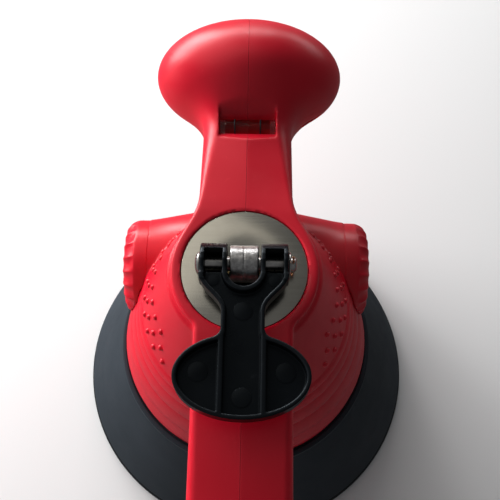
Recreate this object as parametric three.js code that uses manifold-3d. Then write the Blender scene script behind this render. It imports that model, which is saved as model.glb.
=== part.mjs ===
// Hand vacuum lifter: a 150 mm suction pad under a two-piece moulded handle,
// drawn up by a flip lever.  Millimetres, +Z up, +Y towards the palm knob.
// The origin lies on the pad's sealing plane, on the axis of the cup.

import * as THREE from 'three';
import { mergeVertices } from 'three/addons/utils/BufferGeometryUtils.js';
import Module from 'manifold-3d';

const wasm = await Module();
wasm.setup();

// ---- driving dimensions ------------------------------------------------------------

const GAP = 0.3;                     // between pieces that touch
const LAP = 2;                       // how far joined pieces run into each other

const PAD_R = 75;
const PAD_LAND = [62, 73.2];         // flat sealing band, inner and outer radius
const PAD_THICK = 4.6;
const PAD_RISE = 3;                  // height of the hollow at the middle, lever released
const CORE_R = 23;                   // middle of the pad, bonded to its steel plate
const PLATE_R = 18;
const PLATE_THICK = 2.2;
const STUD_R = 3.5;
const STUD_TOP = 26;

const SKIRT_FOOT_R = 74;
const SKIRT_TOP_R = 53.8;
const SKIRT_DECK = [46, 49];         // lower and upper face of the deck
const SKIRT_WALL = 3;
const SKIRT_SCREW_XY = 32;

const DISC_TOP = 133;
const DISC_R = 21.6;
const DISC_THICK = 1.5;
const RING_R = 25.4;                 // raised collar round the disc
const RING_TOP = 133.4;
const BELL_FOOT = 49.4;
const BELL_R = 51;
const WALL = 2.8;                    // moulding thickness

const BAR_WIDTH = 33;
const BAR_Z = [102, 133];
const BAR_EDGE = 6;
const KNOB_Y = 85.2;
const KNOB_Z = 120.7;
const KNOB_SEMI = [35.9, 22.9, 22.9];
const NEAR_END = -(KNOB_Y + KNOB_SEMI[1]);

const BARREL_Y = 22.5;
const BARREL_Z = 75;
const BARREL_R = 19.7;
const BARREL_END = 50;               // outer face of a side grip from the middle plane
const BARREL_STEP = 39;              // where the grip sleeve meets the handle's stub
const STUB_ROOT_R = 26;
const SPIGOT_R = 16;
const TEETH = 20;

const ROD_R = 4.9;
const EYE_R = 6.2;
const EYE_WIDTH = 9.6;
const PIN_R = 2.5;
const PIN_Z = DISC_TOP + 4.7;        // lever released
const EYE_FOOT = DISC_TOP + 1;         // flat underside of the rod's eye
const LIFT = 4;                      // rise of the rod over the lever's half turn

const EAR_X = [5.45, 14.5];          // inner and outer side of each ear
const LEVER_Z = [2, 4.4, 7.7];       // underside, floor and rim above the pin
const LEVER_WALL = 1.4;
const LEVER_NECK = 6.95;             // half width
const LEVER_BEND_Y = [-7, -22];      // where the arms draw in
const OVAL_Y = -39.5;
const OVAL_SEMI = [21.5, 13.5];
const U_CENTRE_Y = -4.9;

const VIAL_Y = 58;
const VIAL_Z = 129;
const VIAL_R = 3;
const VIAL_HALF = 10.2;

const SPRING_R = 12;
const SPRING_WIRE_R = 0.9;
const SPRING_TURNS = 7;

const SHELL_SCREWS = [[-95, 117], [-60, 117], [38, 117], [70, 114], [44, 57]];
const SCREW_SEAT_X = 11;

// ---- materials ---------------------------------------------------------------------

function finish(color, roughness, metalness) {
  return () => new THREE.MeshStandardMaterial({ color, roughness, metalness });
}

const redPlastic = finish(0xc01024, 0.42, 0);
const blackPlastic = finish(0x15171a, 0.45, 0);
const rubber = finish(0x1b1d21, 0.75, 0);
const castSteel = finish(0x8f8b86, 0.42, 1);
const brushedSteel = finish(0xa9a493, 0.28, 1);
const zincSteel = finish(0xb4b2ad, 0.35, 1);
const copper = finish(0xa86a45, 0.35, 1);
const brass = finish(0xb59a5c, 0.4, 1);
const glass = finish(0xe8f0ee, 0.05, 0);
const spirit = finish(0xd8343c, 0.1, 0);
const blackLine = finish(0x0c0c0c, 0.6, 0);

// ---- geometry helpers --------------------------------------------------------------

function signedVolume(positions, index) {
  const a = new THREE.Vector3();
  const b = new THREE.Vector3();
  const c = new THREE.Vector3();
  let volume = 0;
  for (let i = 0; i < index.length; i += 3) {
    a.fromArray(positions, 3 * index[i]);
    b.fromArray(positions, 3 * index[i + 1]);
    c.fromArray(positions, 3 * index[i + 2]);
    volume += a.dot(b.cross(c)) / 6;
  }
  return volume;
}

// A manifold solid from any closed three.js geometry, with its faces turned outwards.
function solid(geometry) {
  const bare = geometry.clone();
  bare.deleteAttribute('normal');
  bare.deleteAttribute('uv');
  const merged = mergeVertices(bare, 1e-4);
  const positions = new Float32Array(merged.attributes.position.array);
  const kept = [];
  for (let i = 0; i < merged.index.count; i += 3) {
    const [a, b, c] = [0, 1, 2].map((k) => merged.index.getX(i + k));
    if (a !== b && b !== c && c !== a) kept.push(a, b, c);
  }
  const triVerts = new Uint32Array(kept);
  if (signedVolume(positions, triVerts) < 0) triVerts.reverse();
  return new wasm.Manifold(new wasm.Mesh({ numProp: 3, vertProperties: positions, triVerts }));
}

function geometryOf(body) {
  const mesh = body.getMesh();
  const geometry = new THREE.BufferGeometry();
  geometry.setAttribute('position', new THREE.BufferAttribute(mesh.vertProperties, 3));
  geometry.setIndex(new THREE.BufferAttribute(mesh.triVerts, 1));
  geometry.computeVertexNormals();
  return geometry;
}

function union(solids) {
  return solids.reduce((whole, piece) => whole.add(piece));
}

// Turns [radius, height] pairs round Z; the outline closes itself.
function lathe(profile, segments = 32) {
  const points = profile.map(([r, z]) => new THREE.Vector2(r, z));
  const closesOnAxis = profile[0][0] === 0 && profile.at(-1)[0] === 0;
  if (!closesOnAxis) points.push(points[0].clone());
  return solid(new THREE.LatheGeometry(points, segments).rotateX(Math.PI / 2));
}

function disc(radius, low, high, segments = 32) {
  return lathe([[0, low], [radius, low], [radius, high], [0, high]], segments);
}

function tube(inner, outer, low, high, segments = 32) {
  return lathe([[inner, low], [outer, low], [outer, high], [inner, high]], segments);
}

function box([x0, x1], [y0, y1], [z0, z1]) {
  const geometry = new THREE.BoxGeometry(x1 - x0, y1 - y0, z1 - z0);
  return solid(geometry.translate((x0 + x1) / 2, (y0 + y1) / 2, (z0 + z1) / 2));
}

// Lays a solid that was turned round Z along X, then moves it.
function alongX(body, y, z) {
  return body.rotate([0, 90, 0]).translate([0, y, z]);
}

// Extrudes an XY shape from z0 to z1.
function prism(shape, z0, z1, curveSegments = 12) {
  const options = { depth: z1 - z0, bevelEnabled: false, curveSegments };
  return solid(new THREE.ExtrudeGeometry(shape, options).translate(0, 0, z0));
}

// Extrudes a shape drawn in the YZ plane from x0 to x1.
function prismX(shape, x0, x1) {
  const options = { depth: x1 - x0, bevelEnabled: false, curveSegments: 8 };
  const toYZ = new THREE.Matrix4().makeBasis(
    new THREE.Vector3(0, 1, 0), new THREE.Vector3(0, 0, 1), new THREE.Vector3(1, 0, 0));
  const geometry = new THREE.ExtrudeGeometry(shape, options).translate(0, 0, x0);
  return solid(geometry.applyMatrix4(toYZ));
}

function polygon(points) {
  return new THREE.Shape(points.map(([x, y]) => new THREE.Vector2(x, y)));
}

const lifter = new THREE.Group();

function addPart(name, body, material) {
  const mesh = new THREE.Mesh(geometryOf(body), material());
  mesh.name = name;
  lifter.add(mesh);
}

// ---- suction pad and its plate -------------------------------------------------------

function suctionPad() {
  const hole = CORE_R + 2 * GAP;
  return lathe([
    [hole, PAD_RISE], [PAD_LAND[0] - 3, 0.4], [PAD_LAND[0], 0], [PAD_LAND[1], 0],
    [PAD_R - 0.5, 0.5], [PAD_R, 1.6], [PAD_R, 3.2], [PAD_R - 0.8, PAD_THICK - 0.3],
    [PAD_R - 2.4, PAD_THICK], [PAD_LAND[0], PAD_THICK], [hole, PAD_RISE + 4],
  ], 40);
}

function padCore() {
  return disc(CORE_R, PAD_RISE, PAD_RISE + 4);
}

const PLATE_Z = PAD_RISE + 4 + GAP;
const PLATE_TOP = PLATE_Z + PLATE_THICK;

function padPlate() {
  const plate = disc(PLATE_R, PLATE_Z, PLATE_TOP);
  return plate.add(disc(STUD_R, PLATE_Z, STUD_TOP, 24));
}

const SEAT_TOP = PLATE_TOP + GAP + 1.2;

function springSeat() {
  return tube(8.6, 15.5, PLATE_TOP + GAP, SEAT_TOP);
}

const NUT_TOP = PLATE_TOP + GAP + 5.5;

function rodNut() {
  const hex = disc(7.5, PLATE_TOP + GAP, NUT_TOP, 6);
  return hex.subtract(disc(STUD_R + GAP, PLATE_TOP, NUT_TOP + LAP, 24));
}

function returnSpring() {
  const low = SEAT_TOP + GAP + SPRING_WIRE_R;
  const high = SKIRT_DECK[0] - GAP - SPRING_WIRE_R;
  class Helix extends THREE.Curve {
    getPoint(t, target = new THREE.Vector3()) {
      const angle = 2 * Math.PI * SPRING_TURNS * t;
      const z = THREE.MathUtils.lerp(low, high, t);
      return target.set(SPRING_R * Math.cos(angle), SPRING_R * Math.sin(angle), z);
    }
  }
  const wire = new THREE.Shape().absarc(0, 0, SPRING_WIRE_R, 0, 2 * Math.PI);
  const options = { steps: 10 * SPRING_TURNS, extrudePath: new Helix(), curveSegments: 3 };
  return solid(new THREE.ExtrudeGeometry(wire, options));
}

// ---- skirt ----------------------------------------------------------------------------

function skirt() {
  const [deckLow, deckHigh] = SKIRT_DECK;
  const foot = PAD_THICK + GAP;
  const body = lathe([
    [SKIRT_FOOT_R - 7.5, foot], [SKIRT_FOOT_R, foot], [SKIRT_FOOT_R, foot + 1.6],
    [SKIRT_TOP_R + 1, deckLow - 1], [SKIRT_TOP_R, deckLow + 0.5], [SKIRT_TOP_R, deckHigh],
    [ROD_R + 1.2, deckHigh], [ROD_R + 1.2, deckLow], [SKIRT_TOP_R - SKIRT_WALL, deckLow],
    [SKIRT_FOOT_R - SKIRT_WALL - 1, foot + 3.4], [SKIRT_FOOT_R - 7.5, foot + 2.6],
  ], 36);
  const holes = cornerPoints().map(([x, y]) => (
    disc(1.9, deckLow - LAP, deckHigh + LAP, 16).translate([x, y, 0])));
  return body.subtract(union(holes));
}

function cornerPoints() {
  const c = SKIRT_SCREW_XY;
  return [[c, c], [-c, c], [-c, -c], [c, -c]];
}

function skirtScrew() {
  const head = SKIRT_DECK[0] - GAP;
  return disc(3.2, head - 2.2, head, 16).add(disc(1.5, head - 1, 57, 16));
}

// ---- handle shells --------------------------------------------------------------------

// Bell outline from the foot up to the collar, drawn in by `inset`.
function bellProfile(inset) {
  const flank = new THREE.SplineCurve([
    new THREE.Vector2(BELL_R - inset, 55), new THREE.Vector2(47.2 - inset, 70),
    new THREE.Vector2(42 - inset, 86), new THREE.Vector2(36.4 - inset, 102),
    new THREE.Vector2(31.6 - inset, 117), new THREE.Vector2(26.4 - inset, 130),
  ]);
  return flank.getPoints(6).map((p) => [p.x, p.y]);
}

function bell() {
  return lathe([[0, BELL_FOOT], [BELL_R, BELL_FOOT], ...bellProfile(0),
    [RING_R, RING_TOP - 2], [RING_R, RING_TOP - 0.6], [RING_R - 0.7, RING_TOP],
    [0, RING_TOP]], 36);
}

// The bell with room round it, for cutting the side grips to its flank.
function bellClearance() {
  return lathe([[0, BELL_FOOT - LAP], [BELL_R + 2 * GAP, BELL_FOOT - LAP],
    ...bellProfile(-2 * GAP), [0, RING_TOP]], 36);
}

function bellHollow() {
  const flank = bellProfile(WALL).filter(([, z]) => z < DISC_TOP - 8);
  const top = flank.at(-1);
  return lathe([[0, BELL_FOOT - LAP], [BELL_R - WALL, BELL_FOOT - LAP], ...flank, [0, top[1]]], 36);
}

// Handle bar: a long round-ended block with rounded edges, drawn in by `inset`.
function bar(inset) {
  const half = BAR_WIDTH / 2 - BAR_EDGE;
  const near = NEAR_END + BAR_EDGE + half;
  const shape = new THREE.Shape();
  shape.moveTo(half, KNOB_Y);
  shape.lineTo(-half, KNOB_Y);
  shape.lineTo(-half, near);
  shape.absarc(0, near, half, Math.PI, 2 * Math.PI);
  shape.lineTo(half, KNOB_Y);
  const edge = BAR_EDGE - inset;
  const height = BAR_Z[1] - BAR_Z[0] - 2 * BAR_EDGE;
  const geometry = new THREE.ExtrudeGeometry(shape, {
    depth: height, bevelThickness: edge, bevelSize: edge, bevelSegments: 2, curveSegments: 6,
  });
  return solid(geometry.translate(0, 0, BAR_Z[0] + BAR_EDGE));
}

function knob(inset) {
  const geometry = new THREE.SphereGeometry(1, 20, 12);
  const [x, y, z] = KNOB_SEMI.map((semi) => semi - inset);
  return solid(geometry.scale(x, y, z).translate(0, KNOB_Y, KNOB_Z));
}

// Hub across the bell that carries the two side grips.
function barrelStubs() {
  const end = BARREL_STEP - GAP;
  const tip = BARREL_END - 2 * WALL;
  return alongX(lathe([
    [0, -tip], [SPIGOT_R, -tip], [SPIGOT_R, -end], [BARREL_R + GAP, -end], [STUB_ROOT_R, 0],
    [BARREL_R + GAP, end], [SPIGOT_R, end], [SPIGOT_R, tip], [0, tip],
  ], 24), BARREL_Y, BARREL_Z);
}

function barrelHollow() {
  const end = BARREL_STEP - WALL;
  const inner = SPIGOT_R - WALL;
  return alongX(lathe([
    [0, -BARREL_END], [inner, -BARREL_END], [inner, -end], [BARREL_R - WALL, -end],
    [STUB_ROOT_R - WALL, 0], [BARREL_R - WALL, end], [inner, end], [inner, BARREL_END],
    [0, BARREL_END],
  ], 24), BARREL_Y, BARREL_Z);
}

const BUSH_Z = [110.3, 130.9];
const BUSH_R = 8;

function handleBody() {
  const outer = union([bell(), bar(0), knob(0), barrelStubs()]);
  const hollow = union([bellHollow(), bar(WALL), knob(WALL), barrelHollow()]);
  const niche = [[-13.6, 13.6], [VIAL_Y - 6.2, VIAL_Y + 6.2], [122.6, BAR_Z[1] - 0.6]];
  const inside = union([
    disc(RING_R - 2, DISC_TOP - 6, DISC_TOP - 1, 40),
    disc(BUSH_R + 4, BUSH_Z[0] - WALL, DISC_TOP - 2, 24),
    box(...niche),
    ...SHELL_SCREWS.map(([y, z]) => alongX(disc(4, -40, 40, 10), y, z)),
    ...cornerPoints().map(([x, y]) => disc(4, BELL_FOOT, 62, 10).translate([x, y, 0])),
  ]).intersect(outer);
  return outer.subtract(hollow).add(inside);
}

function handleCuts() {
  const seat = DISC_TOP - DISC_THICK - GAP;
  const screwBores = SHELL_SCREWS.flatMap(([y, z]) => [
    alongX(disc(1.8, -12, 20, 10), y, z),
    alongX(disc(3.5, SCREW_SEAT_X, 60, 12), y, z),
  ]);
  const skirtBores = cornerPoints().map(([x, y]) => (
    disc(1.8, BELL_FOOT - LAP, 58, 10).translate([x, y, 0])));
  return union([
    disc(DISC_R + GAP, seat, RING_TOP + LAP, 40),
    disc(BUSH_R + GAP, BUSH_Z[0] - GAP, RING_TOP, 24),
    disc(ROD_R + 1.3, BUSH_Z[0] - 2 * WALL, RING_TOP, 24),
    box([-11.2, 11.2], [VIAL_Y - 4, VIAL_Y + 4], [VIAL_Z - VIAL_R - GAP, BAR_Z[1] + 20]),
    ...screwBores,
    ...skirtBores,
  ]);
}

function handleShells() {
  const whole = handleBody().subtract(handleCuts());
  const far = 200;
  const seam = GAP / 2;
  return {
    left: whole.intersect(box([-far, -seam], [-far, far], [-far, far])),
    right: whole.intersect(box([seam, far], [-far, far], [-far, far])),
  };
}

function shellScrew([y, z]) {
  const seat = SCREW_SEAT_X + GAP;
  const head = disc(3.1, seat, seat + 2.4, 16);
  const socket = disc(1.6, seat + 1, seat + 4, 6);
  return alongX(head.subtract(socket).add(disc(1.5, -10, seat + 0.5, 16)), y, z);
}

// Sleeve with a closed, toothed outer end; `side` is +1 or -1.
function sideGrip(side) {
  const face = BARREL_END;
  const body = lathe([
    [SPIGOT_R + GAP, BARREL_STEP], [BARREL_R, BARREL_STEP], [BARREL_R, face - 4.5],
    [BARREL_R - 0.9, face - 1.8], [BARREL_R - 2.6, face], [0, face], [0, face - WALL + 0.4],
    [SPIGOT_R + GAP, face - WALL + 0.4],
  ], 20);
  const notches = [];
  for (let i = 0; i < TEETH; i += 1) {
    const notch = box([BARREL_R - 1, BARREL_R + 3], [-1.3, 1.3], [face - 4, face + LAP]);
    notches.push(notch.rotate([0, 0, (360 * i) / TEETH]));
  }
  const sleeve = body.subtract(union(notches)).rotate([0, 90 * side, 0]);
  return sleeve.translate([0, BARREL_Y, BARREL_Z]).subtract(bellClearance());
}

// ---- disc, bush, rod and pin ------------------------------------------------------------

function coverDisc() {
  return tube(ROD_R + 0.8, DISC_R, DISC_TOP - DISC_THICK, DISC_TOP, 48);
}

function guideBush() {
  return tube(ROD_R + GAP, BUSH_R, BUSH_Z[0], BUSH_Z[1], 32);
}

function drawRod() {
  const eye = alongX(disc(EYE_R, -EYE_WIDTH / 2, EYE_WIDTH / 2, 32), 0, PIN_Z);
  const shank = disc(ROD_R, NUT_TOP + GAP, PIN_Z - 1, 32);
  const aboveDisc = box([-EYE_WIDTH, EYE_WIDTH], [-2 * EYE_R, 2 * EYE_R], [EYE_FOOT, PIN_Z + 2 * EYE_R]);
  const cheeks = box([-EYE_WIDTH / 2, EYE_WIDTH / 2], [-2 * EYE_R, 2 * EYE_R], [0, PIN_Z + 2 * EYE_R]);
  const studBore = disc(STUD_R + GAP, NUT_TOP - LAP, STUD_TOP + 1, 24);
  const pinBore = alongX(disc(PIN_R + GAP, -10, 10, 24), 0, PIN_Z);
  return eye.intersect(aboveDisc).add(shank).intersect(cheeks).subtract(studBore).subtract(pinBore);
}

const PIN_HEAD_X = EAR_X[1] + GAP;
const PIN_HEAD_THICK = 1.8;
const WASHER_THICK = 0.6;
const COTTER_X = PIN_HEAD_X + WASHER_THICK + GAP + 0.55;
const COTTER_R = 0.5;

function leverPin() {
  const tip = COTTER_X + 1.1;
  const crown = -PIN_HEAD_X - PIN_HEAD_THICK;
  const pin = lathe([
    [0, crown], [1.8, crown + 0.2], [3.2, crown + 0.9],
    [3.9, -PIN_HEAD_X - 0.3], [3.9, -PIN_HEAD_X], [PIN_R, -PIN_HEAD_X],
    [PIN_R, tip - 0.6], [PIN_R - 0.6, tip], [0, tip],
  ], 24);
  const hole = disc(COTTER_R + GAP, -5, 5, 12).translate([COTTER_X, 0, PIN_Z]);
  return alongX(pin, 0, PIN_Z).subtract(hole);
}

function pinWasher() {
  const ring = tube(PIN_R + GAP, 4.2, PIN_HEAD_X, PIN_HEAD_X + WASHER_THICK, 24);
  return alongX(ring, 0, PIN_Z);
}

// Split pin: a straight stem with a round eye above and two spread legs below.
function cotterPin() {
  const stem = disc(COTTER_R, -PIN_R - 1, PIN_R + 1, 12);
  const eye = solid(new THREE.TorusGeometry(1.1, 0.4, 6, 12).rotateY(Math.PI / 2));
  const legs = [-1, 1].map((side) => (
    disc(0.4, 0, 2, 8).rotate([side * 100, 0, 0]).translate([0, side * 0.2, -PIN_R - 0.9])));
  const whole = union([stem, eye.translate([0, 0, PIN_R + 2]), ...legs]);
  return whole.translate([COTTER_X, 0, PIN_Z]);
}

// ---- flip lever -------------------------------------------------------------------------

// Side view of an ear, as [y, z] from the pin.  Its back is the involute whose reach grows
// in step with the angle, so the rod rises evenly as the lever goes over.
function earProfile() {
  const start = PIN_Z - DISC_TOP - GAP;
  const pitch = LIFT / Math.PI;
  const steps = 12;
  const points = [];
  for (let i = 0; i <= steps; i += 1) {
    const turn = (Math.PI * i) / steps;
    const reach = start + pitch * turn;
    points.push([
      reach * Math.sin(turn) + pitch * Math.cos(turn),
      -reach * Math.cos(turn) + pitch * Math.sin(turn),
    ]);
  }
  points.push([-4, LEVER_Z[2]], [LEVER_BEND_Y[0], LEVER_Z[2]], [LEVER_BEND_Y[0], LEVER_Z[0]]);
  points.push([-6, LEVER_Z[0]], [-4.6, -1.2], [-3, -3.6], [-1.2, -start]);
  return polygon(points);
}

function yokeShape(inset) {
  const wide = EAR_X[1] - inset;
  const narrow = LEVER_NECK - inset;
  const [bend, join] = LEVER_BEND_Y;
  const shape = new THREE.Shape();
  shape.moveTo(-wide, -4);
  shape.lineTo(-wide, bend);
  shape.bezierCurveTo(-wide, bend - 6, -narrow, join + 7, -narrow, join);
  shape.lineTo(-narrow, OVAL_Y);
  shape.lineTo(narrow, OVAL_Y);
  shape.lineTo(narrow, join);
  shape.bezierCurveTo(narrow, join + 7, wide, bend - 6, wide, bend);
  shape.lineTo(wide, -4);
  shape.closePath();
  return shape;
}

function ovalShape(inset) {
  const shape = new THREE.Shape();
  shape.absellipse(0, OVAL_Y, OVAL_SEMI[0] - inset, OVAL_SEMI[1] - inset, 0, 2 * Math.PI);
  return shape;
}

function camLever() {
  const [under, floor, rim] = LEVER_Z;
  const [inner, outer] = EAR_X;
  const clear = rim + LAP;
  const plate = prism(yokeShape(0), under, rim, 8).add(prism(ovalShape(0), under, rim, 14));
  const ears = [-outer, inner].map((x) => prismX(earProfile(), x, x + outer - inner));
  const channel = box([LEVER_WALL - LEVER_NECK, LEVER_NECK - LEVER_WALL],
    [OVAL_Y - OVAL_SEMI[1], OVAL_Y + LAP], [floor, clear]);
  const ribs = [-1, 1].map((side) => box(
    [side * LEVER_NECK - LEVER_WALL / 2, side * LEVER_NECK + LEVER_WALL / 2],
    [OVAL_Y - OVAL_SEMI[1] + 1, OVAL_Y + OVAL_SEMI[1]], [under, rim]));
  const wings = prism(ovalShape(LEVER_WALL), floor, clear, 14);
  const dish = prism(yokeShape(LEVER_WALL), floor, clear, 8).add(channel).intersect(
    box([-outer, outer], [OVAL_Y - OVAL_SEMI[1] + LEVER_WALL, -6.5], [floor, clear]));
  const rimRound = disc(inner + 1.6, under, rim, 32).translate([0, U_CENTRE_Y, 0]);
  const cut = disc(inner, -9, clear + LAP, 32).translate([0, U_CENTRE_Y, 0]).add(
    box([-inner, inner], [U_CENTRE_Y, 20], [-9, clear + LAP]));
  const pockets = [-1, 1].map((side) => box(
    [Math.min(side * (inner + 1.8), side * (outer - 1.8)),
      Math.max(side * (inner + 1.8), side * (outer - 1.8))],
    [-PIN_R - 0.6, PIN_R + 0.8], [-1, clear + LAP]));
  const bore = alongX(disc(PIN_R + 0.2, -outer - LAP, outer + LAP, 32), 0, 0);
  const blank = union([plate.subtract(dish.add(wings)), ...ears, rimRound, ...ribs]);
  return blank.subtract(union([cut, bore, ...pockets])).translate([0, 0, PIN_Z]);
}

// ---- bubble level -----------------------------------------------------------------------

function atVial(body) {
  return alongX(body, VIAL_Y, VIAL_Z);
}

const PLUG_LENGTH = 1.8;

function vialTube() {
  return atVial(tube(VIAL_R - 0.7, VIAL_R, -VIAL_HALF, VIAL_HALF, 24));
}

function vialPlug(side) {
  const inner = VIAL_HALF - PLUG_LENGTH;
  return atVial(disc(VIAL_R - 1, Math.min(side * inner, side * VIAL_HALF),
    Math.max(side * inner, side * VIAL_HALF), 20));
}

function vialFluid() {
  const half = VIAL_HALF - PLUG_LENGTH - GAP;
  const bubble = solid(new THREE.SphereGeometry(1, 12, 8).scale(2.4, 1.2, 0.9));
  return atVial(disc(VIAL_R - 1, -half, half, 20))
    .subtract(bubble.translate([-1.4, VIAL_Y, VIAL_Z + VIAL_R - 1]));
}

function vialLine(side) {
  const x = side * 4.7;
  return atVial(tube(VIAL_R + 0.1, VIAL_R + 0.25, x - 0.35, x + 0.35, 24));
}

// ---- assembly ---------------------------------------------------------------------------

const shells = handleShells();
addPart('shell_left', shells.left, redPlastic);
addPart('shell_right', shells.right, redPlastic);
addPart('side_grip_left', sideGrip(-1), redPlastic);
addPart('side_grip_right', sideGrip(1), redPlastic);
SHELL_SCREWS.forEach((place, i) => addPart(`shell_screw_${i + 1}`, shellScrew(place), zincSteel));
addPart('skirt', skirt(), blackPlastic);
cornerPoints().forEach(([x, y], i) => (
  addPart(`skirt_screw_${i + 1}`, skirtScrew().translate([x, y, 0]), zincSteel)));
addPart('suction_pad', suctionPad(), rubber);
addPart('pad_core', padCore(), rubber);
addPart('pad_plate', padPlate(), zincSteel);
addPart('rod_nut', rodNut(), zincSteel);
addPart('spring_seat', springSeat(), zincSteel);
addPart('return_spring', returnSpring(), zincSteel);
addPart('guide_bush', guideBush(), brass);
addPart('draw_rod', drawRod(), castSteel);
addPart('cover_disc', coverDisc(), brushedSteel);
addPart('cam_lever', camLever(), blackPlastic);
addPart('lever_pin', leverPin(), zincSteel);
addPart('pin_washer', pinWasher(), zincSteel);
addPart('cotter_pin', cotterPin(), copper);
addPart('vial_tube', vialTube(), glass);
addPart('vial_fluid', vialFluid(), spirit);
[['left', -1], ['right', 1]].forEach(([name, side]) => {
  addPart(`vial_plug_${name}`, vialPlug(side), glass);
  addPart(`vial_line_${name}`, vialLine(side), blackLine);
});

export default lifter;
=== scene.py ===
"""Hand vacuum lifter: the looks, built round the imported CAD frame.

Shapes are written in millimetres in the part's own frame and turned into metres when a
mesh is made.  The moulded pieces are distance fields, so that their fillets, ridges and
grip bumps are real geometry.
"""
import math

import bmesh
import bpy
import numpy as np
from mathutils import Matrix, Vector


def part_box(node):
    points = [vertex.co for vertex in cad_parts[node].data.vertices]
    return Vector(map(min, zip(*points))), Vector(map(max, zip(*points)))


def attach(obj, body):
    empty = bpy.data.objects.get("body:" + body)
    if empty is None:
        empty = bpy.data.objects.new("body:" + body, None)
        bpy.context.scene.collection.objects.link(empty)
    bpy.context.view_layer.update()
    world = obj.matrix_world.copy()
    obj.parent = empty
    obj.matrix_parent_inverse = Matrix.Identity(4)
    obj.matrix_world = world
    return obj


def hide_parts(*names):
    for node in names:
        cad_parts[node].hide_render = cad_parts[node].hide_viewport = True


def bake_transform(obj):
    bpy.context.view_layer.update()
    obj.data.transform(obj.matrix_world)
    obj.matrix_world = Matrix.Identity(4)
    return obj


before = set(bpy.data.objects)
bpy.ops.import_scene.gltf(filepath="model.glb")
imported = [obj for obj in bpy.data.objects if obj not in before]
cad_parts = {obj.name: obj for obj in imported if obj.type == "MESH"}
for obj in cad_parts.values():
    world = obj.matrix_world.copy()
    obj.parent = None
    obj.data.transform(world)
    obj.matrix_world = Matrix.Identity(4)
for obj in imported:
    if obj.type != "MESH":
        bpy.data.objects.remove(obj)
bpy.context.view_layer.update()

MM = 0.001
TAU = 2 * math.pi


# ---- sizes read from the frame, in millimetres --------------------------------------

def node_box(node):
    low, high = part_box(node)
    return np.array(low) / MM, np.array(high) / MM


DISC_LOW, DISC_HIGH = node_box("cover_disc")
PAD_HIGH = node_box("suction_pad")[1]
SKIRT_LOW, SKIRT_HIGH = node_box("skirt")
SHELL_LOW, SHELL_HIGH = node_box("shell_right")
GRIP_LOW, GRIP_HIGH = node_box("side_grip_right")
VIAL_LOW, VIAL_HIGH = node_box("vial_tube")
PIN_LOW, PIN_HIGH = node_box("lever_pin")
ROD_LOW, ROD_HIGH = node_box("draw_rod")

DISC_TOP = DISC_HIGH[2]
DISC_R = DISC_HIGH[0]
PAD_R = PAD_HIGH[0]
BARREL_Y = (GRIP_LOW[1] + GRIP_HIGH[1]) / 2
BARREL_Z = (GRIP_LOW[2] + GRIP_HIGH[2]) / 2
BARREL_R = (GRIP_HIGH[1] - GRIP_LOW[1]) / 2
BARREL_END = GRIP_HIGH[0]
BARREL_STEP = 39.0
SKIRT_R = SKIRT_HIGH[0]
PIN_Z = (PIN_LOW[2] + PIN_HIGH[2]) / 2
VIAL_Y = (VIAL_LOW[1] + VIAL_HIGH[1]) / 2
VIAL_Z = (VIAL_LOW[2] + VIAL_HIGH[2]) / 2
VIAL_R = (VIAL_HIGH[1] - VIAL_LOW[1]) / 2
VIAL_HALF = VIAL_HIGH[0]

RING_R = 25.4
RING_TOP = 133.4
BAR_HALF = 16.5
BAR_LOW = 102.0
UNDER_EDGE = 9
KNOB_SEMI = np.array([35.9, 22.9, 22.9])
KNOB = np.array([0.0, SHELL_HIGH[1] - KNOB_SEMI[1], SHELL_HIGH[2] - KNOB_SEMI[2]])
NEAR_END = SHELL_LOW[1]
SCREW_YZ = [(-95, 117), (-60, 117), (38, 117), (70, 114), (44, 57)]


# ---- camera, light and floor ---------------------------------------------------------

CAMERA_FORWARD = Vector((0, 0.3843, -0.9232))
CAMERA_DISTANCE = 267.9          # from the disc's middle
CAMERA_ASIDE, CAMERA_RAISED = 1.9, 6.5
CAMERA_LENS = 56.88
CAMERA_SWING = 1.0               # degrees round the cup's axis


def make_camera():
    right = Vector((1, 0, 0))
    forward = CAMERA_FORWARD
    up = right.cross(forward)
    target = Vector((0, 0, DISC_TOP))
    place = target - CAMERA_DISTANCE * forward + CAMERA_ASIDE * right + CAMERA_RAISED * up
    turn = Matrix((right, up, -forward)).transposed().to_4x4()
    data = bpy.data.cameras.new("camera")
    data.sensor_width = 36
    data.lens = CAMERA_LENS
    data.clip_start = 0.01
    camera = bpy.data.objects.new("camera", data)
    bpy.context.collection.objects.link(camera)
    swing = Matrix.Rotation(math.radians(CAMERA_SWING), 4, "Z")
    camera.matrix_world = swing @ Matrix.Translation(place * MM) @ turn
    bpy.context.scene.camera = camera


DISC_HEIGHT = (0, 0, 0.1)        # where most lamps aim, in metres


def area_light(name, place, size, power, target=DISC_HEIGHT, colour=(1, 1, 1)):
    """A soft rectangular lamp; places and sizes are in metres."""
    data = bpy.data.lights.new(name, "AREA")
    data.shape = "RECTANGLE"
    data.size, data.size_y = size
    data.energy = power
    data.color = colour
    lamp = bpy.data.objects.new(name, data)
    bpy.context.collection.objects.link(lamp)
    aim = (Vector(target) - Vector(place)).to_track_quat("-Z", "Y")
    lamp.matrix_world = Matrix.Translation(place) @ aim.to_matrix().to_4x4()
    return lamp


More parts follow.
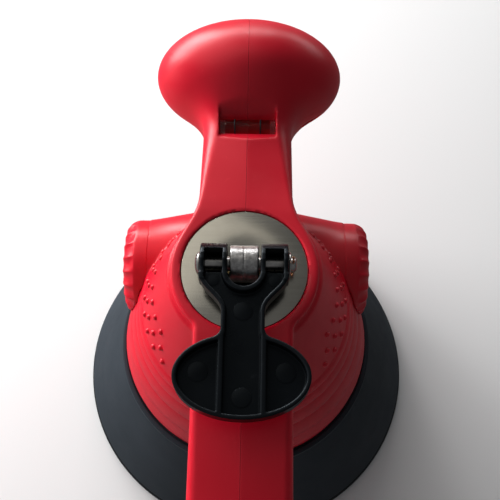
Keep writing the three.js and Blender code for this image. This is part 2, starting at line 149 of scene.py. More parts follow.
def make_lights():
    area_light("window", (-0.50, 0.62, 0.32), (0.6, 0.34), 6.5)
    left = area_light("left", (-0.66, 0.30, 0.21), (0.6, 0.3), 8.5)
    left.visible_glossy = False
    area_light("back", (-0.16, 0.85, 0.42), (0.7, 0.14), 3.4)
    area_light("ceiling", (-0.31, 0.31, 0.74), (0.66, 0.42), 0.5,
               target=(-0.1, 0, 0.133), colour=(1, 0.96, 0.88))
    area_light("far_side", (0.45, 0.75, 0.3), (0.5, 0.2), 0.8)
    world = bpy.data.worlds.new("studio")
    world.use_nodes = True
    tree = world.node_tree
    place = tree.nodes.new("ShaderNodeTexCoord").outputs["Generated"]
    split = tree.nodes.new("ShaderNodeSeparateXYZ")
    ramp = tree.nodes.new("ShaderNodeMapRange")
    tree.links.new(place, split.inputs["Vector"])
    tree.links.new(split.outputs["X"], ramp.inputs["Value"])
    for key, value in (("From Min", -0.5), ("From Max", 0.5), ("To Min", 0.24), ("To Max", 0.08)):
        ramp.inputs[key].default_value = value
    background = tree.nodes["Background"]
    background.inputs["Color"].default_value = (0.95, 0.97, 1.0, 1)
    tree.links.new(ramp.outputs["Result"], background.inputs["Strength"])
    bpy.context.scene.world = world
    bpy.context.scene.view_settings.view_transform = "Standard"


# ---- distance fields -----------------------------------------------------------------

def smooth_min(a, b, k):
    """The lower of two fields, blended over a width k."""
    h = np.maximum(k - np.abs(a - b), 0) / k
    return np.minimum(a, b) - h * h * k / 4


def smooth_max(a, b, k):
    return -smooth_min(-a, -b, k)


def ellipsoid(p, centre, semi):
    """Near-exact distance to an ellipsoid."""
    q = (p - centre) / semi
    k0 = np.sqrt((q * q).sum(1))
    k1 = np.sqrt(((q / semi) ** 2).sum(1))
    return k0 * (k0 - 1) / np.maximum(k1, 1e-9)


def rod_z(p, radius, z0, z1):
    """Cylinder on the cup's axis."""
    side = np.hypot(p[:, 0], p[:, 1]) - radius
    return np.maximum(side, np.maximum(z0 - p[:, 2], p[:, 2] - z1))


def polygon(u, v, corners):
    """Exact signed distance to a closed 2D outline."""
    best = np.full(u.shape, 1e9)
    inside = np.zeros(u.shape, bool)
    for (ax, ay), (bx, by) in zip(corners, corners[1:] + corners[:1]):
        ex, ey = bx - ax, by - ay
        wx, wy = u - ax, v - ay
        t = np.clip((wx * ex + wy * ey) / (ex * ex + ey * ey + 1e-12), 0, 1)
        best = np.minimum(best, (wx - ex * t) ** 2 + (wy - ey * t) ** 2)
        crosses = ((ay > v) != (by > v)) & (u < ax + ex * (v - ay) / (ey if ey else 1e-12))
        inside ^= crosses
    return np.where(inside, -1, 1) * np.sqrt(best)


BLOCK = 8


def sample_field(field, low, high, step):
    """Field values on a grid, worked out only in the blocks that the surface crosses."""
    low = np.array(low, float)
    blocks = np.ceil((np.array(high) - low) / (step * BLOCK)).astype(int)
    corner = np.stack(np.meshgrid(*[np.arange(n) for n in blocks], indexing="ij"), -1)
    corner = corner.reshape(-1, 3)
    centre = low + (corner + 0.5) * BLOCK * step
    distance = field(centre)
    values = np.repeat(distance[:, None], BLOCK ** 3, 1).astype(np.float32)
    near = np.nonzero(np.abs(distance) < 1.25 * BLOCK * step)[0]
    inner = np.stack(np.meshgrid(*[np.arange(BLOCK)] * 3, indexing="ij"), -1).reshape(-1, 3)
    for chunk in np.array_split(near, max(1, len(near) // 1500)):
        points = low + (corner[chunk][:, None] * BLOCK + inner[None]) * step
        values[chunk] = field(points.reshape(-1, 3)).reshape(len(chunk), -1)
    grid = values.reshape(*blocks, BLOCK, BLOCK, BLOCK).transpose(0, 3, 1, 4, 2, 5)
    return grid.reshape(*(blocks * BLOCK)), low


def surface_nets(grid):
    """Quads round a grid's zero level, one vertex for each cell that the surface crosses."""
    inside = grid < 0
    shape = np.array(grid.shape) - 1
    corners = [(i, j, k) for i in (0, 1) for j in (0, 1) for k in (0, 1)]

    def part(a, c):
        return a[c[0]:shape[0] + c[0], c[1]:shape[1] + c[1], c[2]:shape[2] + c[2]]

    count = sum(part(inside, c).astype(np.int8) for c in corners)
    cells = np.argwhere((count > 0) & (count < 8))
    number = np.full(shape, -1, np.int64)
    number[tuple(cells.T)] = np.arange(len(cells))
    total = np.zeros((len(cells), 3))
    hits = np.zeros(len(cells))
    for a in corners:
        for axis in range(3):
            if a[axis]:
                continue
            b = list(a)
            b[axis] = 1
            fa = grid[tuple((cells + a).T)]
            fb = grid[tuple((cells + b).T)]
            cut = (fa < 0) != (fb < 0)
            t = np.where(cut, fa / np.where(cut, fa - fb, 1), 0)
            point = np.array(a, float)[None] + t[:, None] * (np.array(b) - a)[None]
            total += point * cut[:, None]
            hits += cut
    verts = cells + total / hits[:, None]
    quads = []
    for axis in range(3):
        u, v = (axis + 1) % 3, (axis + 2) % 3
        first = [slice(None)] * 3
        second = [slice(None)] * 3
        first[axis], second[axis] = slice(0, -1), slice(1, None)
        a, b = inside[tuple(first)], inside[tuple(second)]
        edges = np.argwhere(a != b)
        edges = edges[(edges[:, u] > 0) & (edges[:, v] > 0)]
        edges = edges[(edges[:, u] < shape[u]) & (edges[:, v] < shape[v])]
        du, dv = np.eye(3, dtype=int)[u], np.eye(3, dtype=int)[v]
        ring = [number[tuple((edges - s).T)] for s in (0 * du, du, du + dv, dv)]
        quad = np.stack(ring, 1)
        outward = a[tuple(edges.T)]
        quad[~outward] = quad[~outward][:, ::-1]
        quads.append(quad)
    return verts, np.concatenate(quads)


def slope_of(field, points, reach):
    """The field's gradient at the points, by central differences."""
    return np.stack([
        (field(points + reach * axis) - field(points - reach * axis)) / (2 * reach)
        for axis in np.eye(3)], 1)


def settle(field, points, step, rounds=3):
    """Moves points onto the surface along the field's slope."""
    for _ in range(rounds):
        slope = slope_of(field, points, 0.15 * step)
        size = np.maximum((slope * slope).sum(1), 0.09)
        move = -field(points)[:, None] * slope / size[:, None]
        length = np.linalg.norm(move, axis=1, keepdims=True)
        points = points + move * np.minimum(1, 0.6 * step / np.maximum(length, 1e-9))
    return points


def mesh_object(name, verts, faces):
    mesh = bpy.data.meshes.new(name)
    mesh.from_pydata((np.asarray(verts) * MM).tolist(), [],
                     faces.tolist() if isinstance(faces, np.ndarray) else faces)
    mesh.validate()
    mesh.shade_smooth()
    piece = bpy.data.objects.new(name, mesh)
    bpy.context.collection.objects.link(piece)
    return piece


def field_object(name, field, low, high, step):
    grid, origin = sample_field(field, low, high, step)
    verts, quads = surface_nets(grid)
    verts = settle(field, origin + verts * step, step)
    return mesh_object(name, verts, quads)


# ---- turned pieces -------------------------------------------------------------------

def fillet(profile, radius, points=4, closed=True):
    """Rounds each corner of an outline of [r, z] pairs by a short curve."""
    outline = [np.array(p, float) for p in profile]
    result = []
    for i, here in enumerate(outline):
        if not closed and i in (0, len(outline) - 1):
            result.append(here)
            continue
        before, after = outline[i - 1], outline[(i + 1) % len(outline)]
        back, ahead = before - here, after - here
        reach = min(radius, 0.42 * np.linalg.norm(back), 0.42 * np.linalg.norm(ahead))
        a = here + back / np.linalg.norm(back) * reach
        b = here + ahead / np.linalg.norm(ahead) * reach
        for t in np.linspace(0, 1, points):
            result.append((1 - t) ** 2 * a + 2 * t * (1 - t) * here + t * t * b)
    return result


def revolve(name, profile, segments=128, closed=True):
    """Turns an outline round Z; an open outline starts and ends on the axis."""
    ring = np.linspace(0, TAU, segments, endpoint=False)
    verts, rows = [], []
    for r, z in profile:
        if r < 1e-6:
            rows.append([len(verts)] * segments)
            verts.append((0, 0, z))
        else:
            rows.append(list(range(len(verts), len(verts) + segments)))
            verts.extend(zip(r * np.cos(ring), r * np.sin(ring), np.full(segments, z)))
    faces = []
    count = len(rows) if closed else len(rows) - 1
    for i in range(count):
        low, high = rows[i], rows[(i + 1) % len(rows)]
        for j in range(segments):
            k = (j + 1) % segments
            face = [low[j], low[k], high[k], high[j]]
            faces.append(list(dict.fromkeys(face)))
    piece = mesh_object(name, verts, faces)
    face_outwards(piece)
    return piece


def face_outwards(piece):
    shape = bmesh.new()
    shape.from_mesh(piece.data)
    bmesh.ops.recalc_face_normals(shape, faces=shape.faces)
    shape.to_mesh(piece.data)
    shape.free()


def move_mesh(piece, matrix):
    piece.data.transform(matrix)
    return piece


def lay_along_x(piece, y, z):
    turn = Matrix.Rotation(math.pi / 2, 4, "Y")
    return move_mesh(piece, Matrix.Translation(Vector((0, y, z)) * MM) @ turn)


def joined(name, pieces):
    """One object from several."""
    merged = bmesh.new()
    for piece in pieces:
        merged.from_mesh(piece.data)
        bpy.data.objects.remove(piece)
    mesh = bpy.data.meshes.new(name)
    merged.to_mesh(mesh)
    merged.free()
    mesh.shade_smooth()
    result = bpy.data.objects.new(name, mesh)
    bpy.context.collection.objects.link(result)
    return result


def fit_out(piece, material, body, nodes=()):
    """Gives a piece its material, its body and the nodes it stands for."""
    piece.data.materials.clear()
    piece.data.materials.append(material)
    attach(piece, body)
    if nodes:
        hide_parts(*nodes)
    return piece


# ---- handle ---------------------------------------------------------------------------

BELL_FOOT = 49.4
BELL_FIT = np.polyfit([0, 0.2, 0.413, 0.627, 0.827, 1], [51, 47.2, 42, 36.4, 31.6, 26.4], 3)
RIDGE_BANDS = [(64, 75), (75, 83.5), (83.5, 89.7), (89.7, 94.2)]
RIDGE_HEIGHT = 0.75
BUMP_ROWS = [(110.4, 208), (103.3, 213), (97.9, 218)]
BUMP_PITCH = 10.0
BUMPS_PER_ROW = 9
BUMP_SHAPE = [(0, -0.6), (1.2, -0.6), (1.15, 0.15), (0.9, 0.62), (0.5, 0.92), (0, 1.0)]
BUMP_NORMAL_REACH = 0.5
BELL_SLOPE = 0.93                # scales the bell's field to a true distance
SEAM = 0.05
DISC_GAP = 0.22
BORE_R = 8.3
ABOVE = 150                      # clear of everything
BARREL_GAP = 0.03
STUB_OVERLAP = 0.8               # how far a stub runs into its toothed end
WELL_R = 3.6
WELL_FLOOR = 11.2                # distance of a well's floor from the middle plane
NICHE_GAP = 0.35
NICHE_LIP = 3.4
NICHE_NEAR = 10.2


def bell_radius(z):
    radius = np.polyval(BELL_FIT, np.clip((z - 55) / 75, 0, 1.03))
    for low, high in RIDGE_BANDS:
        s = np.clip((z - low) / (high - low), 0, 1)
        radius = radius + RIDGE_HEIGHT * np.sqrt(np.maximum(4 * s * (1 - s), 0))
    return radius


def bump_centres():
    """Places of the grip bumps on the left flank of the bell and of the near grip."""
    places = []
    for z, last in BUMP_ROWS:
        radius = bell_radius(np.array(z))
        for i in range(BUMPS_PER_ROW):
            angle = math.radians(last - BUMP_PITCH * i)
            places.append((radius * math.cos(angle), radius * math.sin(angle), z))
    for row, z in enumerate((125.5, 120, 114.5)):
        for i in range(5 - row):
            y = -76.5 - 3 * row - 6 * i
            past = min(y - (NEAR_END + BAR_HALF), 0)
            places.append((-math.sqrt(BAR_HALF ** 2 - past ** 2), y, z))
    return np.array(places)


def edge_round(side, end, radius):
    """Joins a side wall and an end face by a round edge."""
    a, b = side + radius, end + radius
    outside = np.hypot(np.maximum(a, 0), np.maximum(b, 0))
    return outside + np.minimum(np.maximum(a, b), 0) - radius


def plateau(p):
    """Grip, neck and collar: one flat-topped block with a crisp edge."""
    x, y, z = p.T
    past = np.minimum(y - (NEAR_END + BAR_HALF), 0)
    plan = smooth_min(np.hypot(x, past) - BAR_HALF, np.hypot(x, y) - RING_R,
                      np.interp(y, [-6, 6], [1.5, 8]))
    edge = np.interp(y, [-60, -26, 26, 56], [2.6, 1.2, 1.2, 6.5])
    fall = np.interp(y, [-100, -26, 26, 70], [1.6, 0, 0, 1.2])
    slope = np.interp(y, [-34, -22, 22, 34, 54], [0.035, 0, 0, 0.045, 0.09])
    top = edge_round(plan, z - RING_TOP + fall + slope * np.abs(x), edge)
    under = edge_round(plan, BAR_LOW - z, UNDER_EDGE)
    return np.maximum(np.maximum(top, under), y - KNOB[1])


def niche(p):
    """Open tray of the bubble level, with sloping near and far walls."""
    corners = [(VIAL_Y - NICHE_LIP, 124.8), (VIAL_Y - NICHE_LIP, 130.2),
               (VIAL_Y - NICHE_NEAR, 135), (VIAL_Y - NICHE_NEAR, 160), (VIAL_Y + 24, 160),
               (VIAL_Y + 12.5, 140.5), (VIAL_Y + NICHE_LIP, 128.6),
               (VIAL_Y + NICHE_LIP, 124.8)]
    ends = np.abs(p[:, 0]) - VIAL_HALF - NICHE_GAP
    return np.maximum(polygon(p[:, 1], p[:, 2], corners), ends)


def handle_field(p, screws):
    """The handle, as a field; `screws` opens the screw wells."""
    x, y, z = p.T
    turn = np.hypot(x, y)
    bell = BELL_SLOPE * (turn - bell_radius(z))
    bell = smooth_max(bell, BELL_FOOT - z, 1.2)
    bell = smooth_max(bell, z - RING_TOP + 4, 1.0)
    q = np.abs(x)
    hub = np.hypot(y - BARREL_Y, z - BARREL_Z)
    flare_r = np.interp(q, [18, 40], [19.4, 15.2])
    flare = np.hypot(y - BARREL_Y - 4, z - BARREL_Z - 2) - flare_r
    stub = smooth_min(hub - BARREL_R + BARREL_GAP, flare, 1.0)
    body = smooth_min(bell, np.maximum(stub, q - BARREL_STEP - STUB_OVERLAP), 0.6)
    body = smooth_min(body, plateau(p), np.interp(np.abs(y), [26, 38], [1.2, 8]))
    body = smooth_min(body, ellipsoid(p, KNOB, KNOB_SEMI), 8)
    body = smooth_max(body, -rod_z(p, DISC_R + DISC_GAP, DISC_LOW[2] - 0.3, ABOVE), 0.4)
    body = np.maximum(body, -rod_z(p, BORE_R, 40, ABOVE))
    body = smooth_max(body, -niche(p), 0.4)
    if screws:
        for sy, sz in SCREW_YZ:
            well = np.maximum(np.hypot(y - sy, z - sz) - WELL_R, WELL_FLOOR - q)
            body = smooth_max(body, -well, 0.5)
    return body


HANDLE_STEP = 0.7


def make_bumps():
    """Small round domes, each standing along the handle's surface normal."""
    centres = bump_centres()
    normals = slope_of(lambda p: handle_field(p, False), centres, BUMP_NORMAL_REACH)
    domes = []
    for centre, normal in zip(centres, normals):
        turn = Vector(normal).to_track_quat("Z", "Y").to_matrix().to_4x4()
        dome = revolve("bump", BUMP_SHAPE, 16, closed=False)
        domes.append(move_mesh(dome, Matrix.Translation(Vector(centre) * MM) @ turn))
    return domes


def cut_at_seam(piece):
    """Keeps what lies left of the middle plane and closes the cut."""
    shape = bmesh.new()
    shape.from_mesh(piece.data)
    cut = bmesh.ops.bisect_plane(
        shape, geom=[*shape.verts, *shape.edges, *shape.faces], dist=1e-7,
        plane_co=(-SEAM * MM, 0, 0), plane_no=(1, 0, 0), clear_outer=True)
    rim = [part for part in cut["geom_cut"] if isinstance(part, bmesh.types.BMEdge)]
    bmesh.ops.triangle_fill(shape, edges=rim, use_beauty=True, normal=(1, 0, 0))
    shape.to_mesh(piece.data)
    shape.free()
    piece.data.shade_smooth()
    piece.data.set_sharp_from_angle(angle=math.radians(50))


def make_handle(material):
    low = (-54, NEAR_END - 2, BELL_FOOT - 2)
    high = (2, KNOB[1] + KNOB_SEMI[1] + 2, KNOB[2] + KNOB_SEMI[2] + 3)
    for side, name in ((-1, "left"), (1, "right")):
        # only the right half has wells, for the screws' heads
        piece = field_object("half", lambda p: handle_field(p, side > 0), low, high,
                             HANDLE_STEP)
        cut_at_seam(piece)
        piece = joined(f"handle_{name}", [piece, *make_bumps()])
        if side > 0:
            mirror(piece)
        fit_out(piece, material, "handle", [f"shell_{name}"])


def mirror(piece):
    piece.data.transform(Matrix.Diagonal((-1, 1, 1, 1)))
    piece.data.flip_normals()


# ---- toothed barrel ends ----------------------------------------------------------------

TEETH = 20
TOOTH_LENGTH = 4.6
TOOTH_DEPTH = 2.0
END_ROUND = 6.0
END_INSET = 0.8                  # the toothed face stands this far inside the CAD's
RECESS_R = 12.5
RECESS_DEPTH = 1.4
BARREL_GRID_STEP = 0.45


def barrel_field(p):
    """Left barrel end: a sleeve with a rounded face and notches round its edge."""
    q = END_INSET - p[:, 0]
    y, z = p[:, 1] - BARREL_Y, p[:, 2] - BARREL_Z
    hub = np.hypot(y, z)
    t = np.clip((q - BARREL_END + END_ROUND) / END_ROUND, 0, 1)
    radius = BARREL_R - 0.75 * END_ROUND * (1 - np.sqrt(np.maximum(1 - t * t, 0)))
    wave = (0.5 + 0.5 * np.cos(TEETH * np.arctan2(y, z))) ** 0.5
    reach = np.clip((q - BARREL_END + TOOTH_LENGTH) / TOOTH_LENGTH, 0, 1) ** 0.7
    radius = radius - TOOTH_DEPTH * reach * wave
    body = smooth_max(0.85 * (hub - radius), q - BARREL_END, 0.8)
    body = np.maximum(body, BARREL_STEP + 0.02 + p[:, 0])
    recess = np.maximum(hub - RECESS_R, BARREL_END - RECESS_DEPTH - q)
    body = smooth_max(body, -recess, 0.3)
    bell = BELL_SLOPE * (np.hypot(p[:, 0], p[:, 1]) - bell_radius(p[:, 2]) - 0.1)
    return np.maximum(body, -bell)


def make_barrel_ends(material):
    low = (-BARREL_END - 1.5, BARREL_Y - BARREL_R - 2, BARREL_Z - BARREL_R - 2)
    high = (-BARREL_STEP + 1, BARREL_Y + BARREL_R + 2, BARREL_Z + BARREL_R + 2)
    for side, name in ((-1, "left"), (1, "right")):
        piece = field_object(f"barrel_end_{name}", barrel_field, low, high, BARREL_GRID_STEP)
        if side > 0:
            mirror(piece)
        fit_out(piece, material, "handle", [f"side_grip_{name}"])


# ---- skirt and pad ----------------------------------------------------------------------

def make_skirt(material):
    foot = SKIRT_LOW[2]
    deck = SKIRT_HIGH[2]
    outline = fillet([
        (64, foot), (SKIRT_R, foot), (SKIRT_R, foot + 1.2), (54.9, deck - 4.4), (53.9, deck - 2.6),
        (53.9, deck), (51.9, deck), (51.5, deck - 0.8), (6.4, deck - 0.8), (6.4, deck - 3),
        (50.6, deck - 3), (SKIRT_R - 4, foot + 3.4), (64, foot + 2.6),
    ], 0.7)
    fit_out(revolve("skirt_shell", outline, 160), material, "handle",
            ["skirt"])


def make_pad(material):
    top = PAD_HIGH[2] - 2.4
    rim = fillet([
        (60, 0.4), (62, 0), (73.2, 0), (PAD_R - 0.4, 0.5), (PAD_R, 1.8), (PAD_R - 0.1, 3.3),
        (PAD_R - 1.0, 4.4), (PAD_R - 2.2, top), (71.9, top - 0.5), (62, top - 0.4), (60, top - 1),
    ], 0.6)
    fit_out(revolve("pad_rim", rim, 192), material, "handle", ["suction_pad"])
    core = fillet([(0, 3), (23, 3), (23, 7), (0, 7)], 0.5, closed=False)
    fit_out(revolve("pad_middle", core, 96, closed=False), material, "rod",
            ["pad_core"])
    spans = np.linspace(0, 1, 9)
    rise = spans * spans * (3 - 2 * spans)
    under = [(61 - 38.5 * s, 0.3 + 2.6 * h) for s, h in zip(spans, rise)]
    over = [(r, z + 1.2) for r, z in reversed(under)]
    skin = revolve("pad_skin", under + over, 128)
    skin.data.materials.append(material)
    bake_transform(skin)


# ---- disc, rod, pin ---------------------------------------------------------------------

def make_disc(material):
    outline = fillet([
        (5.7, DISC_LOW[2]), (DISC_R, DISC_LOW[2]), (DISC_R, DISC_TOP), (5.7, DISC_TOP),
    ], 0.25, points=3)
    fit_out(revolve("wear_disc", outline, 160), material, "handle",
            ["cover_disc"])


EYE_R = 6.2
EYE_HALF = 4.8
EYE_BORE_R = 2.8
NARROWED_R = 5.3                 # the eye's foot, where it enters the disc's hole
SHANK_R = 4.85
SHANK_BORE_R = 3.9
STEM_TOP = 112                   # where the eye's mesh takes over from the stem's


def rod_field(p):
    """The rod's eye and the top of its shank, with the mould line round the eye."""
    x, y, z = p.T
    turn = np.hypot(y, z - PIN_Z)
    line = 0.12 * np.exp(-(x / 0.2) ** 2)
    eye = smooth_max(turn - EYE_R + line, np.abs(x) - EYE_HALF, 0.6)
    foot = smooth_max(eye, np.hypot(x, y) - NARROWED_R, 0.4)
    eye = np.where(z < DISC_TOP + 1, foot, eye)
    shank = np.maximum(np.hypot(x, y) - SHANK_R, z - PIN_Z)
    body = smooth_min(eye, shank, 1.5)
    body = np.maximum(body, STEM_TOP - z)
    return np.maximum(body, -(turn - EYE_BORE_R))


def make_rod(material):
    top = field_object("rod_eye", rod_field, (-7, -7, 110), (7, 7, ROD_HIGH[2] + 1.5), 0.26)
    low = ROD_LOW[2]
    sleeve = fillet([(SHANK_BORE_R, low), (SHANK_R, low), (SHANK_R, STEM_TOP),
                     (SHANK_BORE_R, STEM_TOP)], 0.3)
    stem = revolve("rod_stem", sleeve, 48)
    fit_out(joined("rod", [top, stem]), material, "rod", ["draw_rod"])


PIN_R = 2.5
PIN_HEAD_R = 3.9
WASHER_RADII = (2.75, 4.2)


def make_pin(steel, copper):
    head = PIN_LOW[0]
    face = head + 1.8
    tip = PIN_HIGH[0]
    outline = [(0, head)] + [
        (PIN_HEAD_R * math.sin(a), face - 0.3 - 1.5 * math.cos(a))
        for a in np.linspace(0.12, TAU / 4, 10)]
    outline += fillet([(PIN_HEAD_R, face), (PIN_R, face), (PIN_R, tip - 0.5), (1.9, tip),
                       (0, tip)], 0.3, closed=False)
    pin = lay_along_x(revolve("pin", outline, 64, closed=False), 0, PIN_Z)
    fit_out(pin, steel, "rod", ["lever_pin"])
    washer_low, washer_high = node_box("pin_washer")
    near, far = washer_low[0], washer_high[0]
    bore, rim = WASHER_RADII
    ring = fillet([(bore, near), (rim, near), (rim, far), (bore, far)], 0.25)
    fit_out(lay_along_x(revolve("washer", ring, 48), 0, PIN_Z), steel, "rod",
            ["pin_washer"])
    make_cotter(copper)


def wire(name, points, radius):
    """A round wire through the points, as a closed mesh."""
    curve = bpy.data.curves.new(name, "CURVE")
    curve.dimensions = "3D"
    curve.bevel_depth = radius * MM
    curve.bevel_resolution = 3
    curve.use_fill_caps = True
    spline = curve.splines.new("NURBS")
    spline.points.add(len(points) - 1)
    for point, place in zip(spline.points, points):
        point.co = (*(Vector(place) * MM), 1)
    spline.use_endpoint_u = True
    spline.order_u = 3
    spline.resolution_u = 6
    holder = bpy.data.objects.new(name, curve)
    bpy.context.collection.objects.link(holder)
    mesh = bpy.data.meshes.new_from_object(holder.evaluated_get(
        bpy.context.evaluated_depsgraph_get()))
    bpy.data.objects.remove(holder)
    piece = bpy.data.objects.new(name, mesh)
    bpy.context.collection.objects.link(piece)
    mesh.shade_smooth()
    return piece


def make_cotter(copper):
    low, high = node_box("cotter_pin")
    x = (low[0] + high[0]) / 2
    wires = []
    for side in (-1, 1):
        leg = [(0.3, 3.2), (0.3, 0), (0.3, -2.7), (0.6, -3.4), (1.7, -3.7)]
        points = [(x, side * y, PIN_Z + z) for y, z in leg]
        if side > 0:
            points = [(x, 0.9 * math.sin(a), PIN_Z + 4.3 - 1.1 * math.cos(a))
                      for a in np.linspace(-2.6, 2.6, 10)] + points
        wires.append(wire("leg", points, 0.33))
    fit_out(joined("split_pin", wires), copper, "rod", ["cotter_pin"])


# ---- lever --------------------------------------------------------------------------------

EAR = (5.45, 14.5)
FLOOR, RIM, UNDER = 4.4, 7.7, 2.0
NECK = 6.95
OVAL_Y = -39.5
OVAL = (21.5, 13.5)
U_Y = -4.9
LIFT = 4.0
LEVER_STEP = 0.32
COLLAR_WALL = 1.7                # round the U-shaped cut
RIM_WALL = 1.4                   # along the lever's outline
LEVER_BORE_R = 2.62


def yoke_outline():
    turns = [(-12 * t, 0.5 - 0.5 * math.cos(math.pi * t)) for t in np.linspace(0, 1, 9)]
    side = [(EAR[1] - (EAR[1] - NECK) * s, -6.5 + y) for y, s in turns]
    side = [(EAR[1], 8.5)] + side + [(NECK, OVAL_Y)]
    return side + [(-x, y) for x, y in reversed(side)]


def ear_outline():
    start = PIN_Z - DISC_TOP - 0.3
    pitch = LIFT / math.pi
    back = []
    for turn in np.linspace(0, math.pi, 13):
        reach = start + pitch * turn
        back.append((reach * math.sin(turn) + pitch * math.cos(turn),
                     -reach * math.cos(turn) + pitch * math.sin(turn)))
    front = [(-4, RIM), (-8, RIM), (-8, UNDER), (-6, UNDER), (-4.6, -1.2), (-3, -3.6),
             (-1.2, -start)]
    return back + front


def outline_oval(x, y, shrink=0.0):
    a, b = OVAL[0] - shrink, OVAL[1] - shrink
    u, v = x / a, (y - OVAL_Y) / b
    k0 = np.hypot(u, v)
    k1 = np.hypot(u / a, v / b)
    return k0 * (k0 - 1) / np.maximum(k1, 1e-6)


def lever_field(p):
    """The lever about its pin, at rest: ribbed side up, arms towards -Y."""
    x, y, z = p[:, 0], p[:, 1], p[:, 2] - PIN_Z
    q = np.abs(x)
    yoke = polygon(x, y, yoke_outline())
    oval = outline_oval(x, y)
    plan = smooth_min(yoke, oval, 2.6)
    arms = smooth_max(np.maximum(plan, y + 6), np.maximum(UNDER - z, z - RIM), 0.5)
    ears = polygon(y, z, ear_outline())
    ears = smooth_max(ears, np.maximum(EAR[0] - q, q - EAR[1]), 0.7)
    ring = np.hypot(x, y - U_Y)
    collar = smooth_max(ring - EAR[0] - COLLAR_WALL, np.maximum(UNDER - z, z - RIM), 0.5)
    body = smooth_min(smooth_min(arms, ears, 0.8), collar, 0.4)
    channel = np.maximum(np.maximum(q - NECK + 1.15, y + 24), OVAL_Y - OVAL[1] - y)
    dish = smooth_min(np.maximum(yoke + RIM_WALL, y + 6.4), channel, 0.6)
    inside = np.maximum(EAR[0] + COLLAR_WALL - q, q - EAR[1] + 1.6)
    tray = np.maximum(inside, np.maximum(y - 2.6, -7.5 - y))
    dish = np.maximum(np.minimum(dish, tray), -(ring - EAR[0] - COLLAR_WALL))
    wings = smooth_max(outline_oval(x, y, RIM_WALL), NECK + 0.6 - q, 0.5)
    dish = np.maximum(dish, np.where(y < -8, plan + RIM_WALL, -9))
    hollow = smooth_max(np.minimum(dish, wings), FLOOR - z, 0.4)
    body = smooth_max(body, -hollow, 0.35)
    slot = np.where(y > U_Y, q - EAR[0], ring - EAR[0])
    body = smooth_max(body, -slot, 0.6)
    pocket = smooth_max(np.maximum(inside, np.abs(y + 1.0) - 3.6), -1 - z, 0.4)
    body = smooth_max(body, -pocket, 0.4)
    return np.maximum(body, -(np.hypot(y, z) - LEVER_BORE_R))


EJECTOR_MARKS = [(-9.9, -7.6, 2.0), (9.9, -7.6, 2.0), (0, -17.9, 3.1), (-13.7, -37.8, 3.2),
                 (13.7, -37.8, 3.2), (0, -45.8, 3.1)]


def make_lever(material):
    low = (-OVAL[0] - 1.5, OVAL_Y - OVAL[1] - 1.5, PIN_Z - 6)
    high = (OVAL[0] + 1.5, 10.5, PIN_Z + 10)
    pieces = [field_object("lever_body", lever_field, low, high, LEVER_STEP)]
    for x, y, radius in EJECTOR_MARKS:
        level = PIN_Z + FLOOR
        mark = revolve("mark", fillet([
            (0, level - 0.3), (radius, level - 0.3), (radius, level + 0.16), (0, level + 0.1),
        ], 0.1, 3, closed=False), 40, closed=False)
        pieces.append(move_mesh(mark, Matrix.Translation(Vector((x, y, 0)) * MM)))
    fit_out(joined("lever", pieces), material, "lever", ["cam_lever"])


# ---- bubble level ---------------------------------------------------------------------------

TUBE_BORE_R = 2.35
SPIRIT_R = 2.37
LINE_X = 4.7
LINE_HALF = 0.24


def let_light_through(piece):
    """Keeps a clear piece from shading the tray behind it."""
    piece.visible_shadow = False


def make_vial(glass, spirit, black):
    tube = fillet([(TUBE_BORE_R, -VIAL_HALF), (VIAL_R, -VIAL_HALF), (VIAL_R, VIAL_HALF),
                   (TUBE_BORE_R, VIAL_HALF)], 0.25)
    let_light_through(
        fit_out(lay_along_x(revolve("level_tube", tube, 64), VIAL_Y, VIAL_Z), glass, "handle",
                ["vial_tube"]))
    for side, name in ((-1, "left"), (1, "right")):
        a, b = sorted((side * (VIAL_HALF - 1.8), side * (VIAL_HALF - 0.1)))
        plug = fillet([(0, a), (2.25, a), (2.25, b), (0, b)], 0.2, closed=False)
        stopper = revolve(f"level_plug_{name}", plug, 48, closed=False)
        let_light_through(fit_out(lay_along_x(stopper, VIAL_Y, VIAL_Z), glass, "handle",
                                  [f"vial_plug_{name}"]))
        start, stop = side * LINE_X - LINE_HALF, side * LINE_X + LINE_HALF
        inner, outer = VIAL_R + 0.02, VIAL_R + 0.1
        line = [(inner, start), (outer, start), (outer, stop), (inner, stop)]
        fit_out(lay_along_x(revolve(f"level_line_{name}", line, 64), VIAL_Y, VIAL_Z), black,
                "handle", [f"vial_line_{name}"])

    def spirit_field(p):
        column = np.maximum(np.hypot(p[:, 1] - VIAL_Y, p[:, 2] - VIAL_Z) - SPIRIT_R,
                            np.abs(p[:, 0]) - VIAL_HALF + 2)
        bubble = ellipsoid(p, np.array([-1.4, VIAL_Y, VIAL_Z + 2.1]), np.array([2.5, 1.3, 1.3]))
        return smooth_max(column, -bubble, 0.2)

    half = VIAL_HALF
    piece = field_object("level_spirit", spirit_field, (-half, VIAL_Y - 3, VIAL_Z - 3),
                         (half, VIAL_Y + 3, VIAL_Z + 3), 0.3)
    let_light_through(fit_out(piece, spirit, "handle", ["vial_fluid"]))


# ---- spring ---------------------------------------------------------------------------------

COIL_R = 12
COIL_TURNS = 7
SPRING_WIRE_R = 0.9


def make_spring(steel):
    low, high = node_box("return_spring")
    a, b = low[2] + SPRING_WIRE_R, high[2] - SPRING_WIRE_R
    steps = COIL_TURNS * 24
    points = []
    for i in range(steps + 1):
        angle = TAU * COIL_TURNS * i / steps
        points.append((COIL_R * math.cos(angle), COIL_R * math.sin(angle),
                       a + (b - a) * i / steps))
    piece = wire("spring", points, SPRING_WIRE_R)
    piece.data.materials.clear()
    piece.data.materials.append(steel)
    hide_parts("return_spring")
    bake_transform(piece)


# ---- materials ------------------------------------------------------------------------------

